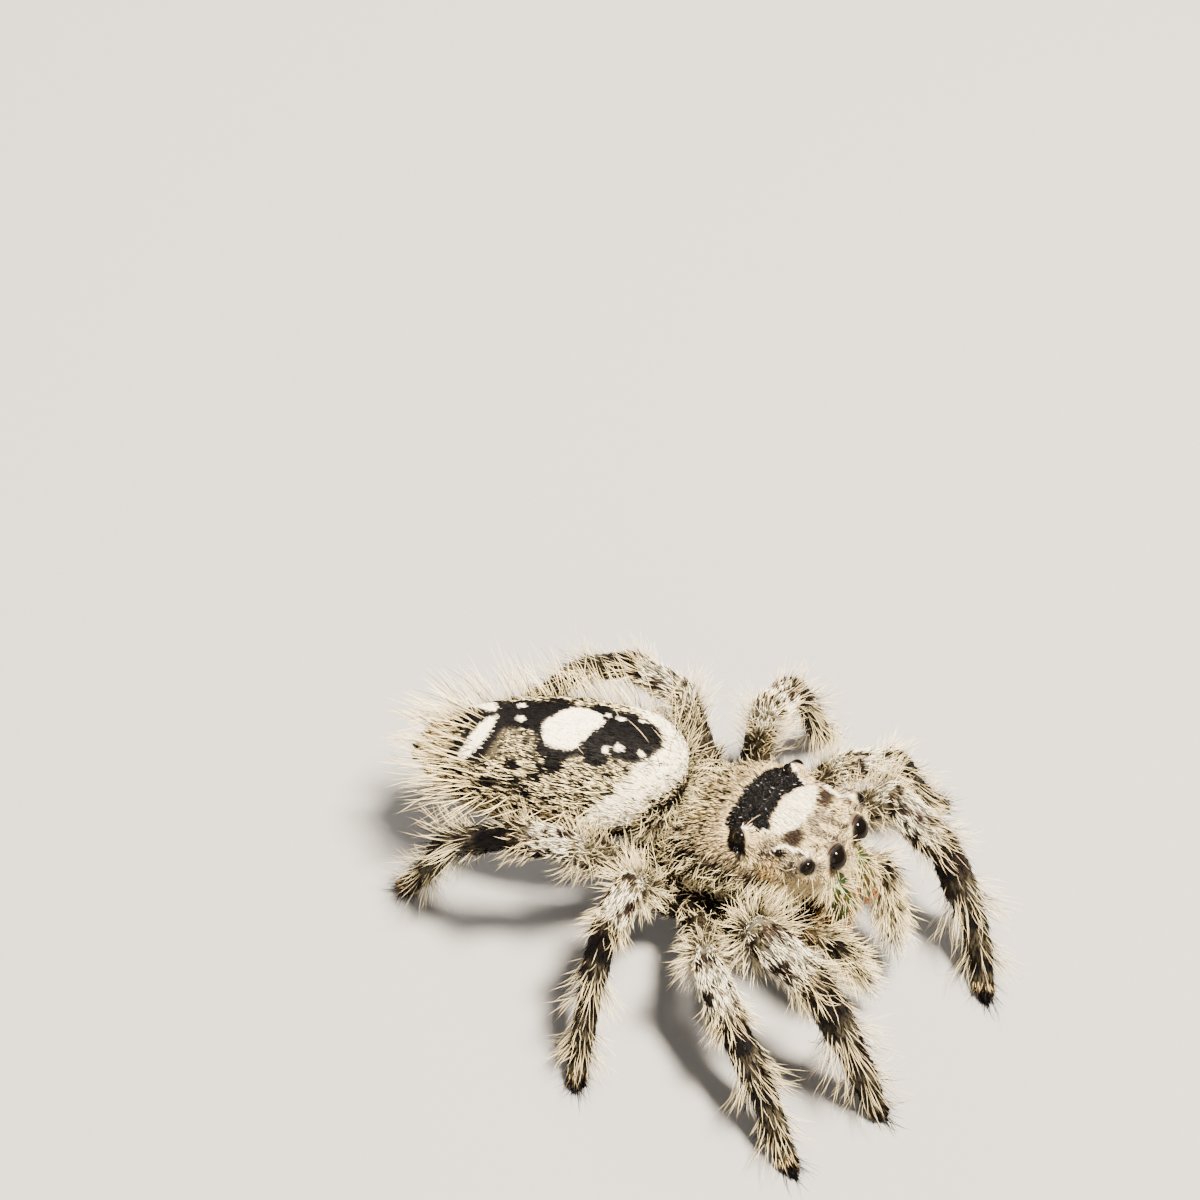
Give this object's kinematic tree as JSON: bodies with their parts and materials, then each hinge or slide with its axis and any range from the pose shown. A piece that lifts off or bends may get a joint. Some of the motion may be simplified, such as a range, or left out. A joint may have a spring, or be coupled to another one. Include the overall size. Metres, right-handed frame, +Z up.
{
  "type": "jumping spider",
  "caption": "Life-size grey and cream jumping spider standing on the floor, head raised, hairy legs spread, abdomen swung to its right; a still model with no joints",
  "frame": {"origin": "on the floor, below the middle of the box around the whole spider", "axes": "the head faces -Y, the spider's right side is -X, +Z is up"},
  "size_m": [0.0096, 0.0111, 0.0037],
  "materials": {
    "coat": "short beige-grey hair over dark shell, with a white patch and a black band on the head",
    "abdomen_coat": "lying cream hair with black and white marks and long pale bristles",
    "leg_coat": "cream and grey hair in flared bands over black shell",
    "shell": "black shell, half gloss",
    "chelicera": "metallic green sheen over dark shell",
    "eye": "black, full gloss"
  },
  "bodies": {
    "root": {"abdomen": "abdomen_coat", "carapace": "coat", "chelicera_left": "chelicera", "chelicera_right": "chelicera", "eye_anterior_lateral_left": "eye", "eye_anterior_lateral_right": "eye", "eye_anterior_median_left": "eye", "eye_anterior_median_right": "eye", "eye_posterior_lateral_left": "eye", "eye_posterior_lateral_right": "eye", "eye_posterior_median_left": "eye", "eye_posterior_median_right": "eye", "leg_left_1_femur": "leg_coat", "leg_left_1_metatarsus": "leg_coat", "leg_left_1_patella": "leg_coat", "leg_left_1_tarsus": "leg_coat", "leg_left_1_tibia": "leg_coat", "leg_left_2_femur": "leg_coat", "leg_left_2_metatarsus": "leg_coat", "leg_left_2_patella": "leg_coat", "leg_left_2_tarsus": "leg_coat", "leg_left_2_tibia": "leg_coat", "leg_left_3_femur": "leg_coat", "leg_left_3_metatarsus": "leg_coat", "leg_left_3_patella": "leg_coat", "leg_left_3_tarsus": "leg_coat", "leg_left_3_tibia": "leg_coat", "leg_left_4_femur": "leg_coat", "leg_left_4_metatarsus": "leg_coat", "leg_left_4_patella": "leg_coat", "leg_left_4_tarsus": "leg_coat", "leg_left_4_tibia": "leg_coat", "leg_right_1_femur": "leg_coat", "leg_right_1_metatarsus": "leg_coat", "leg_right_1_patella": "leg_coat", "leg_right_1_tarsus": "leg_coat", "leg_right_1_tibia": "leg_coat", "leg_right_2_femur": "leg_coat", "leg_right_2_metatarsus": "leg_coat", "leg_right_2_patella": "leg_coat", "leg_right_2_tarsus": "leg_coat", "leg_right_2_tibia": "leg_coat", "leg_right_3_femur": "leg_coat", "leg_right_3_metatarsus": "leg_coat", "leg_right_3_patella": "leg_coat", "leg_right_3_tarsus": "leg_coat", "leg_right_3_tibia": "leg_coat", "leg_right_4_femur": "leg_coat", "leg_right_4_metatarsus": "leg_coat", "leg_right_4_patella": "leg_coat", "leg_right_4_tarsus": "leg_coat", "leg_right_4_tibia": "leg_coat", "palp_left_femur": "leg_coat", "palp_left_tarsus": "leg_coat", "palp_right_femur": "leg_coat", "palp_right_tarsus": "leg_coat", "pedicel": "shell", "spinnerets": "shell", "sternum": "shell"}
  },
  "joints": []
}
